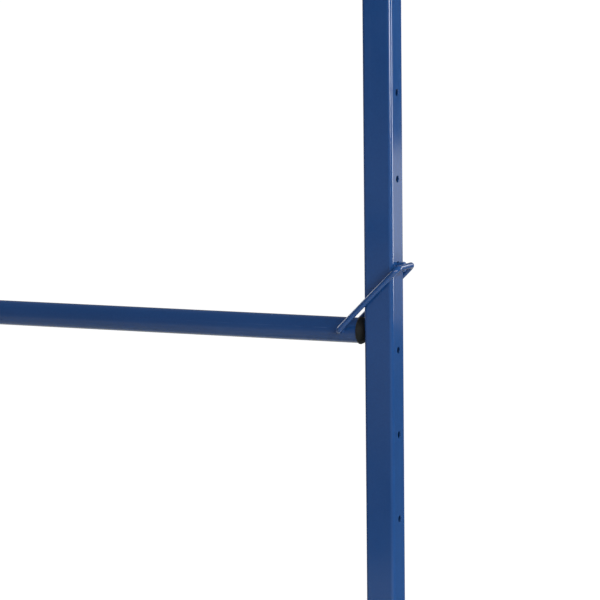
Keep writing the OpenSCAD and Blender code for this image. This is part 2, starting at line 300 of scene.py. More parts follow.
def hexagon(bm, af, height, chamfer_low, bore=None):
    """Hexagon head or nut on z = 0 with turned chamfers on its corners. af is the width across flats."""
    flat_r = af / 2 * HEX_FLAT

    def out(a):
        """Distance from the axis to the hexagon's side at an angle."""
        return af / 2 / math.cos((a + math.pi / 6) % (math.pi / 3) - math.pi / 6)

    def drop(a):
        """How far the chamfer cuts the side down at an angle."""
        return (out(a) - flat_r) * math.tan(math.radians(HEX_CHAMFER))

    turns = [2 * math.pi * i / HEX_POINTS for i in range(HEX_POINTS)]
    rows = []
    if bore:
        rows.append([(bore, 0)] * HEX_POINTS)
    rows.append([(flat_r, 0)] * HEX_POINTS)
    rows.append([(out(a), drop(a) if chamfer_low else 0) for a in turns])
    rows.append([(out(a), height - drop(a)) for a in turns])
    rows.append([(flat_r, height)] * HEX_POINTS)
    if bore:
        rows.append([(bore, height)] * HEX_POINTS)
    rings = []
    for row in rows:
        rings.append(ring(bm, [(r * math.cos(a), r * math.sin(a), z) for (r, z), a in zip(row, turns)]))
    for a, b in zip(rings, rings[1:]):
        bridge(bm, a, b)
    if bore:
        bridge(bm, rings[-1], rings[0])
    else:
        bm.faces.new(list(reversed(rings[0])))
        bm.faces.new(rings[-1])


def joined(*parts):
    """One bmesh from several (bmesh, matrix) pairs."""
    whole = bmesh.new()
    for bm, matrix in parts:
        bm.transform(matrix)
        mesh = bpy.data.meshes.new("part")
        bm.to_mesh(mesh)
        bm.free()
        whole.from_mesh(mesh)
        bpy.data.meshes.remove(mesh)
    return whole


def object_from(bm, name):
    """Links a bmesh to the scene as an object with outward normals."""
    bmesh.ops.recalc_face_normals(bm, faces=bm.faces)
    mesh = bpy.data.meshes.new(name)
    bm.to_mesh(mesh)
    bm.free()
    obj = bpy.data.objects.new(name, mesh)
    bpy.context.scene.collection.objects.link(obj)
    return obj


def apply_modifiers(obj):
    """Replaces an object's mesh with its evaluated one."""
    bpy.context.view_layer.update()
    seen = obj.evaluated_get(bpy.context.evaluated_depsgraph_get())
    mesh = bpy.data.meshes.new_from_object(seen)
    obj.modifiers.clear()
    old = obj.data
    obj.data = mesh
    bpy.data.meshes.remove(old)


def rod_at(point, axis, radius, length, segments=40):
    """Cylinder centred on point, as a (bmesh, matrix) pair for a cutter."""
    bm = bmesh.new()
    bmesh.ops.create_cone(bm, cap_ends=True, segments=segments, radius1=radius, radius2=radius, depth=length)
    turn = Vector((0, 0, 1)).rotation_difference(Vector(axis)).to_matrix().to_4x4()
    return bm, Matrix.Translation(point) @ turn


def drill(obj, holes):
    """Cuts all the given (bmesh, matrix) cutters out of obj."""
    cutter = object_from(joined(*holes), obj.name + "_cutter")
    cut = obj.modifiers.new("holes", "BOOLEAN")
    cut.object = cutter
    cut.operation = "DIFFERENCE"
    cut.solver = "EXACT"
    apply_modifiers(obj)
    bpy.data.objects.remove(cutter)


def soften(obj, width, segments=2, angle=38):
    """Rounds the sharp edges of a mesh, and keeps flat faces flat in the shading."""
    if width:
        edge = obj.modifiers.new("edges", "BEVEL")
        edge.width = width
        edge.segments = segments
        edge.limit_method = "ANGLE"
        edge.angle_limit = math.radians(angle)
        apply_modifiers(obj)
    obj.data.shade_smooth()
    obj.data.set_sharp_from_angle(angle=math.radians(angle))
    if width:
        weigh = obj.modifiers.new("normals", "WEIGHTED_NORMAL")
        weigh.keep_sharp = True
        weigh.weight = 90
        apply_modifiers(obj)


def finish_piece(obj, material, body, slot, *nodes):
    """Gives a piece its material and its body, and hides the CAD nodes that it stands for. The slot argument
    is not used.
    """
    obj.data.materials.clear()
    obj.data.materials.append(material)
    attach(obj, body)
    if nodes:
        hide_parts(*nodes)


# ---------------------------------------------------------------- materials

# Places of a mix node's sockets, which share their names across data types.
FLOAT_A, FLOAT_B = 2, 3
COLOUR_A, COLOUR_B, COLOUR_OUT = 6, 7, 2


class Nodes:
    """Builds a node tree. add gives the new node; math, noise, range, mix and bump give its output."""

    def __init__(self, tree):
        self.tree = tree
        tree.nodes.clear()

    def add(self, kind, **values):
        node = self.tree.nodes.new(kind)
        for name, value in values.items():
            setattr(node, name, value)
        return node

    def link(self, a, b):
        self.tree.links.new(a, b)

    def math(self, operation, a, b):
        node = self.add("ShaderNodeMath", operation=operation)
        for i, value in enumerate((a, b)):
            if isinstance(value, (int, float)):
                node.inputs[i].default_value = value
            else:
                self.link(value, node.inputs[i])
        return node.outputs[0]

    def noise(self, where, scale, detail=2.0, rough=0.5):
        node = self.add("ShaderNodeTexNoise")
        node.inputs["Scale"].default_value = scale
        node.inputs["Detail"].default_value = detail
        node.inputs["Roughness"].default_value = rough
        self.link(where, node.inputs["Vector"])
        return node.outputs["Fac"]

    def range(self, value, low, high, to_low=0.0, to_high=1.0):
        node = self.add("ShaderNodeMapRange", clamp=True)
        self.link(value, node.inputs["Value"])
        for name, number in (
            ("From Min", low),
            ("From Max", high),
            ("To Min", to_low),
            ("To Max", to_high),
        ):
            node.inputs[name].default_value = number
        return node.outputs["Result"]

    def mix(self, share, a, b):
        """Colour mix; share is a socket, a and b are sockets or RGB tuples."""
        node = self.add("ShaderNodeMix", data_type="RGBA")
        self.link(share, node.inputs["Factor"])
        for slot, value in ((COLOUR_A, a), (COLOUR_B, b)):
            if isinstance(value, tuple):
                node.inputs[slot].default_value = (*value, 1)
            else:
                self.link(value, node.inputs[slot])
        return node.outputs[COLOUR_OUT]

    def bump(self, height, distance, strength=1.0, normal=None):
        node = self.add("ShaderNodeBump")
        node.inputs["Distance"].default_value = distance
        node.inputs["Strength"].default_value = strength
        self.link(height, node.inputs["Height"])
        if normal is not None:
            self.link(normal, node.inputs["Normal"])
        return node.outputs["Normal"]


# Linear colours of the paint, the plastic, the zinc and the floor.
DEEP_BLUE = (0.0095, 0.044, 0.152)
CLEAR_BLUE = (0.0120, 0.051, 0.172)
LIGHT_BLUE = (0.014, 0.056, 0.182)
THIN_BLUE = (0.050, 0.105, 0.250)
DEEP_BLACK = (0.0048, 0.0058, 0.0046)
WARM_BLACK = (0.0082, 0.0094, 0.0078)
SCUFF_GREY = (0.060, 0.060, 0.062)
EDGE_WEAR_AND_HIGHLIGHT_GREY = (0.040, 0.040, 0.042)
BLUE_ZINC = (0.56, 0.58, 0.60)
# Grey of the plastic's edges: partly polish wear, partly a painted highlight on the rims.
YELLOW_ZINC = (0.66, 0.63, 0.54)
DULL_ZINC = (0.46, 0.46, 0.45)
COOL_WHITE = (0.80, 0.805, 0.81)
PALE_WHITE = (0.84, 0.84, 0.84)

# The slow waves of the paint are longer along Y and Z than along X.
WAVE_STRETCH = (1.0, 0.35, 0.35)


def new_material(name):
    """Empty material with a Principled surface; returns (material, nodes, principled, place)."""
    material = bpy.data.materials.new(name)
    material.use_nodes = True
    n = Nodes(material.node_tree)
    out = n.add("ShaderNodeOutputMaterial")
    skin = n.add("ShaderNodeBsdfPrincipled")
    n.link(skin.outputs[0], out.inputs["Surface"])
    place = n.add("ShaderNodeTexCoord").outputs["Object"]
    return material, n, skin, place


def edge_mask(n, low, high):
    """1 on rounded outer edges, 0 on flats; low and high are the pointiness where it starts and ends."""
    point = n.add("ShaderNodeNewGeometry").outputs["Pointiness"]
    return n.range(point, low, high)


def blue_powder_coat(name, smooth, rough):
    """Glossy gentian-blue powder coat: fine orange peel, slight waves of the tube, thin paint on edges.
    Its roughness runs from smooth to rough in slow patches."""
    material, n, skin, place = new_material(name)
    broad = n.noise(place, 5.0, 3.0)
    fine = n.noise(place, 420.0, 2.0)
    peel = n.noise(place, 620.0, 1.0, 0.4)
    speck = n.noise(place, 1900.0, 1.0)
    colour = n.mix(n.range(broad, 0.3, 0.7), DEEP_BLUE, CLEAR_BLUE)
    colour = n.mix(n.range(fine, 0.35, 0.65, 0.0, 0.35), colour, LIGHT_BLUE)
    worn = n.math("MULTIPLY", edge_mask(n, 0.60, 0.70), n.range(n.noise(place, 55.0, 4.0, 0.6), 0.42, 0.62))
    colour = n.mix(n.math("MULTIPLY", worn, 0.40), colour, THIN_BLUE)
    n.link(colour, skin.inputs["Base Color"])
    sheen = n.range(n.noise(place, 38.0, 4.0, 0.6), 0.3, 0.7, smooth, rough)
    n.link(n.math("ADD", sheen, n.math("MULTIPLY", worn, 0.12)), skin.inputs["Roughness"])
    skin.inputs["IOR"].default_value = 1.5
    stretch = n.add("ShaderNodeMapping")
    stretch.inputs["Scale"].default_value = WAVE_STRETCH
    n.link(place, stretch.inputs["Vector"])
    wave = n.noise(stretch.outputs[0], 42.0, 2.0)
    normal = n.bump(wave, 0.00022, 0.8)
    normal = n.bump(peel, 0.000030, 0.8, normal)
    normal = n.bump(speck, 0.000006, 0.6, normal)
    n.link(normal, skin.inputs["Normal"])
    return material


def black_plastic(name):
    """Moulded black polyethylene with a fine spark-eroded grain and slightly polished edges, painted lighter
    grey as partly wear and partly a painted highlight on the rims.
    """
    material, n, skin, place = new_material(name)
    broad = n.noise(place, 30.0, 3.0)
    grain = n.noise(place, 2200.0, 2.0, 0.6)
    colour = n.mix(n.range(broad, 0.3, 0.7), DEEP_BLACK, WARM_BLACK)
    scuff = n.range(n.noise(place, 160.0, 5.0, 0.7), 0.60, 0.72)
    edge = edge_mask(n, 0.52, 0.60)
    colour = n.mix(n.math("MULTIPLY", scuff, 0.20), colour, SCUFF_GREY)
    # Edges painted lighter grey: partly polish wear, partly a painted highlight on the cap rims.
    colour = n.mix(n.math("MULTIPLY", edge, 0.30), colour, EDGE_WEAR_AND_HIGHLIGHT_GREY)
    n.link(colour, skin.inputs["Base Color"])
    rough = n.range(grain, 0.3, 0.7, 0.58, 0.72)
    n.link(n.math("SUBTRACT", rough, n.math("MULTIPLY", edge, 0.12)), skin.inputs["Roughness"])
    skin.inputs["IOR"].default_value = 1.34
    normal = n.bump(broad, 0.00020, 0.4)
    n.link(n.bump(grain, 0.000030, 0.8, normal), skin.inputs["Normal"])
    return material


def zinc_plate(name):
    """Bright zinc plate with fine turning lines, faint blue and yellow passivation and dull patches."""
    material, n, skin, place = new_material(name)
    patch = n.noise(place, 90.0, 4.0, 0.6)
    tint = n.noise(place, 26.0, 2.0)
    colour = n.mix(n.range(tint, 0.35, 0.65), BLUE_ZINC, YELLOW_ZINC)
    colour = n.mix(n.range(patch, 0.5, 0.75, 0.0, 0.5), colour, DULL_ZINC)
    n.link(colour, skin.inputs["Base Color"])
    skin.inputs["Metallic"].default_value = 1.0
    n.link(n.range(patch, 0.3, 0.75, 0.24, 0.42), skin.inputs["Roughness"])
    lines = n.noise(place, 1300.0, 2.0)
    normal = n.bump(patch, 0.00006, 0.5)
    n.link(n.bump(lines, 0.000012, 0.7, normal), skin.inputs["Normal"])
    return material


def pale_floor(name):
    """Plain pale studio floor. To the camera it fades to pure white away from the rack. The paint mirrors
    a glow of its own, as it would from lit backdrops, and the far floor adds no light."""
    material, n, skin, place = new_material(name)
    cloud = n.noise(place, 0.9, 4.0)
    grit = n.noise(place, 60.0, 3.0)
    colour = n.mix(n.range(cloud, 0.3, 0.7), COOL_WHITE, PALE_WHITE)
    reach = n.add("ShaderNodeVectorMath", operation="LENGTH")
    n.link(place, reach.inputs[0])
    far = reach.outputs["Value"]
    dark = n.range(far, FLOOR_LIT, FLOOR_DARK)
    n.link(n.mix(dark, colour, DARK_COLOUR), skin.inputs["Base Color"])
    n.link(n.range(grit, 0.3, 0.7, 0.50, 0.62), skin.inputs["Roughness"])
    n.link(n.bump(grit, 0.0004, 0.25), skin.inputs["Normal"])
    seen = n.range(far, FLOOR_PLAIN, FLOOR_WHITE, FLOOR_GLOW, 1.0)
    split = n.add("ShaderNodeSeparateXYZ")
    n.link(place, split.inputs[0])
    to_left = n.range(split.outputs["X"], *LEFT_X, 0.0, LEFT_GLOW)
    to_front = n.range(split.outputs["Y"], *LEFT_Y)
    band = n.math("MULTIPLY", n.range(far, *RING_START), n.range(far, *RING_END, 1.0, 0.0))
    to_right = n.math("MULTIPLY", band, n.range(split.outputs["X"], *RING_X, 0.0, RING_GLOW))
    mirrored = n.math("ADD", n.math("MULTIPLY", to_left, to_front), to_right)
    camera = n.add("ShaderNodeLightPath").outputs["Is Camera Ray"]
    glow = n.add("ShaderNodeMix", data_type="FLOAT")
    n.link(camera, glow.inputs["Factor"])
    n.link(mirrored, glow.inputs[FLOAT_A])
    n.link(seen, glow.inputs[FLOAT_B])
    skin.inputs["Emission Color"].default_value = (1, 1, 1, 1)
    n.link(glow.outputs[0], skin.inputs["Emission Strength"])
    return material


BLUE_FRAME = blue_powder_coat("blue_frame_paint", 0.08, 0.14)
BLUE_ARM = blue_powder_coat("blue_arm_paint", 0.06, 0.10)
BLACK = black_plastic("black_moulded_plastic")
ZINC = zinc_plate("zinc_plated_steel")


def painted(obj, body, *nodes, slot="blue_frame"):
    paint = BLUE_ARM if slot == "blue_arm" else BLUE_FRAME
    finish_piece(obj, paint, body, slot, *nodes)


def moulded(obj, body, *nodes):
    finish_piece(obj, BLACK, body, "black_plastic", *nodes)


def plated(obj, body, *nodes):
    finish_piece(obj, ZINC, body, "zinc_steel", *nodes)


# ---------------------------------------------------------------- welds

# Path step of a bead, and the share and the radians per metre of its slow waver.
WELD_STEP = 0.6 * MM
WELD_WAVER = 0.06
WELD_WAVE = 410.0

# Bead radii, the ripples of the two finest beads, and the sides of a bead's section.
FOOT_WELD = 2.1 * MM
GUSSET_WELD = 2.0 * MM
PLATE_WELD = 2.6 * MM
BEAM_WELD = 2.0 * MM
BAIL_WELD = 1.0 * MM
STUD_WELD = 0.8 * MM
FINE_PITCH = 1.9 * MM
FINE_DEPTH = 0.12
WELD_SIDES = 10

# The stud's bead runs no deeper down the crossing bar than to this share of the rod's radius.
STUD_WELD_IN = 0.45


def ripple(radius, pitch=2.4 * MM, depth=0.14):
    """Function that gives the radius of a hand-laid weld bead at a distance along its run."""

    def radius_at(run):
        ripples = depth * math.sin(2 * math.pi * run / pitch)
        waver = WELD_WAVER * math.sin(run * WELD_WAVE)
        return radius * (1 + ripples + waver)

    return radius_at


def straight(a, b):
    """Points from a to b, close enough for the ripples of a weld."""
    count = max(2, int((b - a).length / WELD_STEP))
    return [a.lerp(b, i / count) for i in range(count + 1)]


def around(points):
    """Closed path through points, close enough for the ripples of a weld."""
    path = []
    for a, b in zip(points, points[1:] + points[:1]):
        path += straight(a, b)[:-1]
    return path


def circled(middle, place, steps=72):
    """Closed path round a middle point: place(cos, sin) gives the offset at each angle."""
    turns = [2 * math.pi * i / steps for i in range(steps)]
    return [middle + place(math.cos(a), math.sin(a)) for a in turns]


# ---------------------------------------------------------------- the fixed frame

# Heights of the hanging holes. The free ones are mounts, and each arm's own is above its lift hinge, which
# lies at the lower edge of a collar whose pin rests on the hole's lower side.
free = [m["pos_m"][2] for m in frame["record"]["mounts"] if m["name"].startswith("hang_hole_l")]
lift = {j["child"]: j["pos_m"] for j in frame["joints"] if j["type"] == "hinge"}
used = sorted(lift[f"arm_l{level}"][2] for level in LEVELS)
hook_up = COLLAR_R + (HOLE_R - STUD_R - RUN_GAP)
hanging = sorted(free + [z + hook_up for z in used])


def build_post(side):
    node = f"post_{side}"
    low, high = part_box(node)
    mid = (low + high) / 2
    w = high.x - low.x
    skin = tube(
        rounded_rect(w, w, POST_CORNER, steps=12),
        rounded_rect(w - 2 * POST_WALL, w - 2 * POST_WALL, POST_CORNER - POST_WALL, steps=12),
        high.z - low.z,
    )
    skin.transform(Matrix.Translation((mid.x, mid.y, low.z)))
    obj = object_from(skin, node + "_fine")
    cuts = [rod_at((mid.x, high.y, z), (0, 1, 0), HOLE_R, 3 * POST_WALL, segments=48) for z in hanging]
    for beam in ("lower", "upper"):
        z = centre(f"end_plate_{beam}_{side}").z
        for dz in (-BOLT_GAP / 2, BOLT_GAP / 2):
            cuts.append(rod_at((mid.x, mid.y, z + dz), (1, 0, 0), BOLT_HOLE_R, 2 * w, segments=32))
    drill(obj, cuts)
    soften(obj, 0.7 * MM, 3)
    painted(obj, "rack", node)


def box_cap(name, centre_point, turn, w, h, wall, corner):
    """Plastic insert: a softly crowned head above z = 0 and a ribbed hollow plug below."""
    head = bmesh.new()
    rings = []
    for inset, down in CAP_CROWN:
        points = rounded_rect(w - 2 * inset, h - 2 * inset, corner - inset / 2, 8)
        rings.append(ring(head, [(x, y, CAP_HEAD - down) for x, y in points]))
    points = rounded_rect(w * CAP_FLAT, h * CAP_FLAT, corner, 8)
    rings.append(ring(head, [(x, y, CAP_HEAD) for x, y in points]))
    for a, b in zip(rings, rings[1:]):
        bridge(head, a, b)
    head.faces.new(rings[-1])
    head.faces.new(list(reversed(rings[0])))
    bore_w = w - 2 * (wall + CAP_GAP)
    bore_h = h - 2 * (wall + CAP_GAP)
    parts = [(head, Matrix.Identity(4))]
    plug = tube(
        rounded_rect(bore_w - 2 * PLUG_GAP, bore_h - 2 * PLUG_GAP, corner - wall, 4),
        rounded_rect(bore_w - 2 * PLUG_WALL, bore_h - 2 * PLUG_WALL, PLUG_CORNER, 4),
        CAP_PLUG,
    )
    parts.append((plug, Matrix.Translation((0, 0, -CAP_PLUG))))
    for z in CAP_RIBS:
        rib = tube(
            rounded_rect(bore_w, bore_h, corner - wall, 4),
            rounded_rect(bore_w - 2 * RIB_DEPTH, bore_h - 2 * RIB_DEPTH, PLUG_CORNER, 4),
            RIB_T,
        )
        parts.append((rib, Matrix.Translation((0, 0, -z))))
    whole = joined(*parts)
    whole.transform(Matrix.Translation(centre_point) @ turn)
    obj = object_from(whole, name)
    soften(obj, 0)
    return obj


def build_post_cap(side):
    node = f"post_cap_{side}"
    post_low, post_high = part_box(f"post_{side}")
    mid = centre(f"post_{side}")
    w = post_high.x - post_low.x
    top = Vector((mid.x, mid.y, post_high.z))
    obj = box_cap(node + "_fine", top, Matrix.Identity(4), w, w, POST_WALL, POST_CORNER)
    moulded(obj, "rack", node)


def build_leg(side):
    node = f"leg_{side}"
    low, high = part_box(node)
    mid = (low + high) / 2
    w = high.x - low.x
    h = high.z - low.z
    skin = tube(
        rounded_rect(w, h, LEG_CORNER, steps=12),
        rounded_rect(w - 2 * LEG_WALL, h - 2 * LEG_WALL, LEG_CORNER - LEG_WALL, steps=12),
        high.y - low.y,
    )
    skin.transform(Matrix.Translation((mid.x, high.y, mid.z)) @ Matrix.Rotation(math.radians(90), 4, "X"))
    obj = object_from(skin, node + "_fine")
    pad = centre(f"level_pad_{side}")
    drill(obj, [rod_at((pad.x, pad.y, low.z), (0, 0, 1), INSERT_R, 3 * LEG_WALL)])
    soften(obj, 0.35 * MM)
    painted(obj, "rack", node)
    for end, y, turn in (("front", low.y, 90), ("rear", high.y, -90)):
        cap = box_cap(
            f"leg_cap_{end}_{side}_fine",
            Vector((mid.x, y, mid.z)),
            Matrix.Rotation(math.radians(turn), 4, "X"),
            w,
            h,
            LEG_WALL,
            LEG_CORNER,
        )
        moulded(cap, "rack", f"leg_cap_{end}_{side}")


def build_base_plate(side):
    node = f"base_plate_{side}"
    low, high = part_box(node)
    mid = (low + high) / 2
    skin = plate(rounded_rect(high.x - low.x, high.y - low.y, PLATE_CORNER, steps=8), high.z - low.z)
    skin.transform(Matrix.Translation((mid.x, mid.y, low.z)))
    obj = object_from(skin, node + "_fine")
    cuts = []
    for sx in (-1, 1):
        for sy in (-1, 1):
            at = (mid.x + sx * ANCHOR_HALF_X, mid.y + sy * ANCHOR_HALF_Y, mid.z)
            cuts.append(rod_at(at, (0, 0, 1), ANCHOR_R, 3 * (high.z - low.z), segments=48))
    drill(obj, cuts)
    soften(obj, 0.6 * MM, 3)
    painted(obj, "rack", node)


def build_gusset(side):
    node = f"gusset_{side}"
    low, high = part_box(node)
    reach = high.y - low.y
    outline = [
        (-GUSSET_CUT, 0),
        (0, GUSSET_CUT),
        (0, reach),
        (-GUSSET_CUT, reach),
        (-reach, GUSSET_CUT),
        (-reach, 0),
    ]
    skin = plate(outline, high.x - low.x)
    turn = Matrix.Rotation(math.radians(90), 4, "Z") @ Matrix.Rotation(math.radians(90), 4, "X")
    skin.transform(Matrix.Translation((low.x, high.y, low.z)) @ turn)
    obj = object_from(skin, node + "_fine")
    soften(obj, 0.5 * MM, 2)
    painted(obj, "rack", node)


def build_beam(name):
    node = f"beam_{name}"
    low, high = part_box(node)
    mid = (low + high) / 2
    w = high.y - low.y
    h = high.z - low.z
    skin = tube(
        rounded_rect(w, h, BEAM_CORNER),
        rounded_rect(w - 2 * BEAM_WALL, h - 2 * BEAM_WALL, BEAM_CORNER - BEAM_WALL),
        high.x - low.x,
    )
    turn = Matrix.Rotation(math.radians(90), 4, "Z") @ Matrix.Rotation(math.radians(90), 4, "X")
    skin.transform(Matrix.Translation((low.x, mid.y, mid.z)) @ turn)
    obj = object_from(skin, node + "_fine")
    soften(obj, 0.3 * MM)
    painted(obj, "rack", node)
    for side in SIDES:
        end = f"end_plate_{name}_{side}"
        low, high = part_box(end)
        mid = (low + high) / 2
        skin = plate(rounded_rect(high.y - low.y, high.z - low.z, END_CORNER, steps=6), high.x - low.x)
        skin.transform(Matrix.Translation((low.x, mid.y, mid.z)) @ turn)
        obj = object_from(skin, end + "_fine")
        cuts = [
            rod_at((mid.x, mid.y, mid.z + dz), (1, 0, 0), BOLT_HOLE_R, 4 * (high.x - low.x))
            for dz in (-BOLT_GAP / 2, BOLT_GAP / 2)
        ]
        drill(obj, cuts)
        soften(obj, 0.5 * MM)
        painted(obj, "rack", end)


def bolt_places():
    """Matrices of the beam bolts: +Z runs from the post's outer face towards the rack's middle."""
    places = []
    for side, sign in SIDES.items():
        low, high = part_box(f"post_{side}")
        outer = high.x if sign > 0 else low.x
        for beam in ("lower", "upper"):
            end = centre(f"end_plate_{beam}_{side}")
            for dz in (-BOLT_GAP / 2, BOLT_GAP / 2):
                at = Matrix.Translation((outer, end.y, end.z + dz))
                places.append(at @ Matrix.Rotation(-sign * math.pi / 2, 4, "Y"))
    return places


def threaded(r, z0, z1, pitch, plain=0.0):
    """Lathe profile of a screw from z0 to z1, smooth for its first stretch, with a chamfered end."""
    core = r - THREAD_DEPTH * pitch
    foot, start, end = THREAD_FLANKS
    profile = [(r * THREAD_SHANK, z0)]
    z = z0 + plain
    if plain:
        profile.append((r * THREAD_SHANK, z))
    while z + pitch < z1 - THREAD_DEPTH * pitch:
        profile += [(core, z + foot * pitch), (r, z + start * pitch), (r, z + end * pitch)]
        z += pitch
    profile += [(core, z1 - 0.5 * pitch), (core * THREAD_TIP, z1)]
    return profile


def build_beam_fasteners():
    low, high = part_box("post_left")
    plate_low, plate_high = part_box("end_plate_lower_left")
    grip = (high.x - low.x) + (plate_high.x - plate_low.x)
    bolts = []
    washers = []
    nuts = []
    for place in bolt_places():
        head = bmesh.new()
        hexagon(head, NUT_AF, BOLT_HEAD_H, chamfer_low=False)
        flip = Matrix.Translation((0, 0, -WASHER_T)) @ Matrix.Rotation(math.pi, 4, "X")
        bolts.append((head, place @ flip))
        tip = grip + WASHER_T + NUT_H + BOLT_PAST_NUT
        shank = lathe(threaded(BOLT_R, -WASHER_T, tip, BOLT_PITCH, BOLT_PLAIN), 32)
        bolts.append((shank, place))
        for z in (-WASHER_T, grip):
            bore = BOLT_R + WASHER_GAP
            hoop = [(bore, 0), (WASHER_R - 0.2 * MM, 0), (WASHER_R, 0.2 * MM)]
            hoop += [(WASHER_R, WASHER_T - 0.35 * MM), (WASHER_R - 0.3 * MM, WASHER_T), (bore, WASHER_T)]
            washers.append((lathe(hoop, 48, closed=True), place @ Matrix.Translation((0, 0, z))))
        nut = bmesh.new()
        hexagon(nut, NUT_AF, NUT_H, chamfer_low=True, bore=BOLT_R + RUN_GAP)
        nuts.append((nut, place @ Matrix.Translation((0, 0, grip + WASHER_T))))
    for node, parts in (("beam_bolts", bolts), ("beam_washers", washers), ("beam_nuts", nuts)):
        obj = object_from(joined(*parts), node + "_fine")
        soften(obj, 0)
        plated(obj, "rack", node)


def build_leg_inserts():
    parts = []
    for side in SIDES:
        pad = centre(f"level_pad_{side}")
        low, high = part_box(f"leg_{side}")
        bore = SCREW_R + RUN_GAP
        profile = [(bore, -INSERT_FLANGE_T), (INSERT_FLANGE_R - 0.3 * MM, -INSERT_FLANGE_T)]
        profile += [(INSERT_FLANGE_R, -INSERT_FLANGE_T + 0.3 * MM), (INSERT_FLANGE_R, 0), (INSERT_R, 0)]
        profile += [(INSERT_R, INSERT_LEN - 0.6 * MM), (INSERT_R - 0.6 * MM, INSERT_LEN), (bore, INSERT_LEN)]
        parts.append((lathe(profile, 48, closed=True), Matrix.Translation((pad.x, pad.y, low.z))))
    obj = object_from(joined(*parts), "leg_inserts_fine")
    soften(obj, 0)
    plated(obj, "rack", "leg_inserts")


def build_level_foot(side):
    body = f"level_foot_{side}"
    low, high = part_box(f"level_pad_{side}")
    mid = (low + high) / 2
    r = (high.x - low.x) / 2
    h = high.z - low.z

    def gripped(radius, angle):
        """Shallow finger scallops round the rim."""
        if radius < r * 0.9:
            return radius
        return radius - SCALLOP_DEPTH * (0.5 - 0.5 * math.cos(SCALLOPS * angle)) ** 2

    profile = [(r - PAD_EDGE - 0.4 * MM, 0)] + arc(r - PAD_EDGE, PAD_EDGE, PAD_EDGE, -90, 0, 4)
    profile += arc(r - PAD_EDGE, h - PAD_EDGE, PAD_EDGE, 0, 90, 5)
    profile += [(DISH_R, h - 0.2 * MM), (DISH_R - 2 * MM, h - DISH_DEPTH)]
    profile += [(SOCKET_R, h - DISH_DEPTH), (SOCKET_R, SOCKET_FLOOR)]
    skin = lathe(profile, 144, radius=gripped)
    skin.transform(Matrix.Translation((mid.x, mid.y, low.z)))
    pad = object_from(skin, f"level_pad_{side}_fine")
    soften(pad, 0)
    moulded(pad, body, f"level_pad_{side}")
    low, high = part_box(f"level_screw_{side}")
    skin = lathe(threaded(SCREW_R, 0, high.z - low.z, SCREW_PITCH), 40)
    skin.transform(Matrix.Translation((mid.x, mid.y, low.z)))
    screw = object_from(skin, f"level_screw_{side}_fine")
    soften(screw, 0)
    plated(screw, body, f"level_screw_{side}")


def build_frame_welds(side):
    """Fillet welds that hold post, leg, base plate and gusset together."""
    bm = bmesh.new()
    up = Vector((0, 0, 1))
    across = Vector((1, 0, 0))
    low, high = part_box(f"post_{side}")
    mid = (low + high) / 2
    w = high.x - low.x
    outline = rounded_rect(w - 4 * MM, w + 1 * MM, POST_CORNER, steps=6)
    foot = [Vector((mid.x + x, mid.y + y, low.z)) for x, y in outline]
    sweep(bm, around(foot), ripple(FOOT_WELD), up, WELD_SIDES, closed=True)
    low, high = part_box(f"gusset_{side}")
    for x in (low.x, high.x):
        a = Vector((x, high.y, low.z + GUSSET_CUT + GUSSET_WELD))
        b = Vector((x, high.y, high.z - GUSSET_WELD))
        sweep(bm, straight(a, b), ripple(GUSSET_WELD), across, WELD_SIDES)
        a = Vector((x, high.y - GUSSET_CUT - GUSSET_WELD, low.z))
        b = Vector((x, low.y + GUSSET_WELD, low.z))
        sweep(bm, straight(a, b), ripple(GUSSET_WELD), across, WELD_SIDES)
    leg_low, leg_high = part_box(f"leg_{side}")
    plate_low, plate_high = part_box(f"base_plate_{side}")
    for x in (leg_low.x + 3 * MM, leg_high.x - 3 * MM):
        a = Vector((x, plate_low.y + 6 * MM, plate_high.z))
        b = Vector((x, plate_high.y - 6 * MM, plate_high.z))
        sweep(bm, straight(a, b), ripple(PLATE_WELD), up, WELD_SIDES)
    obj = object_from(bm, f"frame_welds_{side}")
    soften(obj, 0)
    painted(obj, "rack")


def build_beam_welds(name):
    """Fillet welds round both ends of a beam."""
    bm = bmesh.new()
    low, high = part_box(f"beam_{name}")
    mid = (low + high) / 2
    for x in (low.x, high.x):
        outline = rounded_rect(high.y - low.y + 1 * MM, high.z - low.z + 1 * MM, BEAM_CORNER, steps=5)
        points = [Vector((x, mid.y + y, mid.z + z)) for y, z in outline]
        sweep(bm, around(points), ripple(BEAM_WELD), Vector((1, 0, 0)), WELD_SIDES, closed=True)
    obj = object_from(bm, f"beam_welds_{name}")
    soften(obj, 0)
    painted(obj, "rack")


# ---------------------------------------------------------------- the arms


def build_arm_tube(tag):
    node = f"arm_tube_{tag}"
    low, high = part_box(node)
    mid = (low + high) / 2
    r = (high.x - low.x) / 2
    length = high.y - low.y
    skin = lathe([(r, 0), (r, length), (r - ARM_WALL, length), (r - ARM_WALL, 0)], 96, closed=True)
    skin.transform(Matrix.Translation((mid.x, high.y, mid.z)) @ Matrix.Rotation(math.radians(90), 4, "X"))
    obj = object_from(skin, node + "_fine")
    bail_low, bail_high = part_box(f"arm_bail_{tag}")
    at = (mid.x, bail_low.y + ROD_R, bail_low.z + ROD_R)
    drill(obj, [rod_at(at, (1, 0, 0), ROD_R + RUN_GAP, 3 * r, segments=32)])
    soften(obj, 0.3 * MM)
    painted(obj, f"arm_{tag}", node, slot="blue_arm")


def plug_profile(bore_r, start, end):
    """Ribbed plug inside a round tube: a lathe profile running up from z = start, with a hollow end."""
    core = bore_r - RIB_OUT
    tip = bore_r - RUN_GAP
    inside = bore_r - PLUG_WALL
    profile = [(core, start)]
    for z in PLUG_RIBS:
        foot = start + z
        head = foot + 1.3 * MM
        profile += [(core, foot), (tip, foot + 0.3 * MM), (tip, head - 0.3 * MM), (core, head)]
    profile += [(core, end - 0.5 * MM), (core - 0.5 * MM, end)]
    profile += [(inside, end), (inside, start + PLUG_FLOOR)]
    return profile


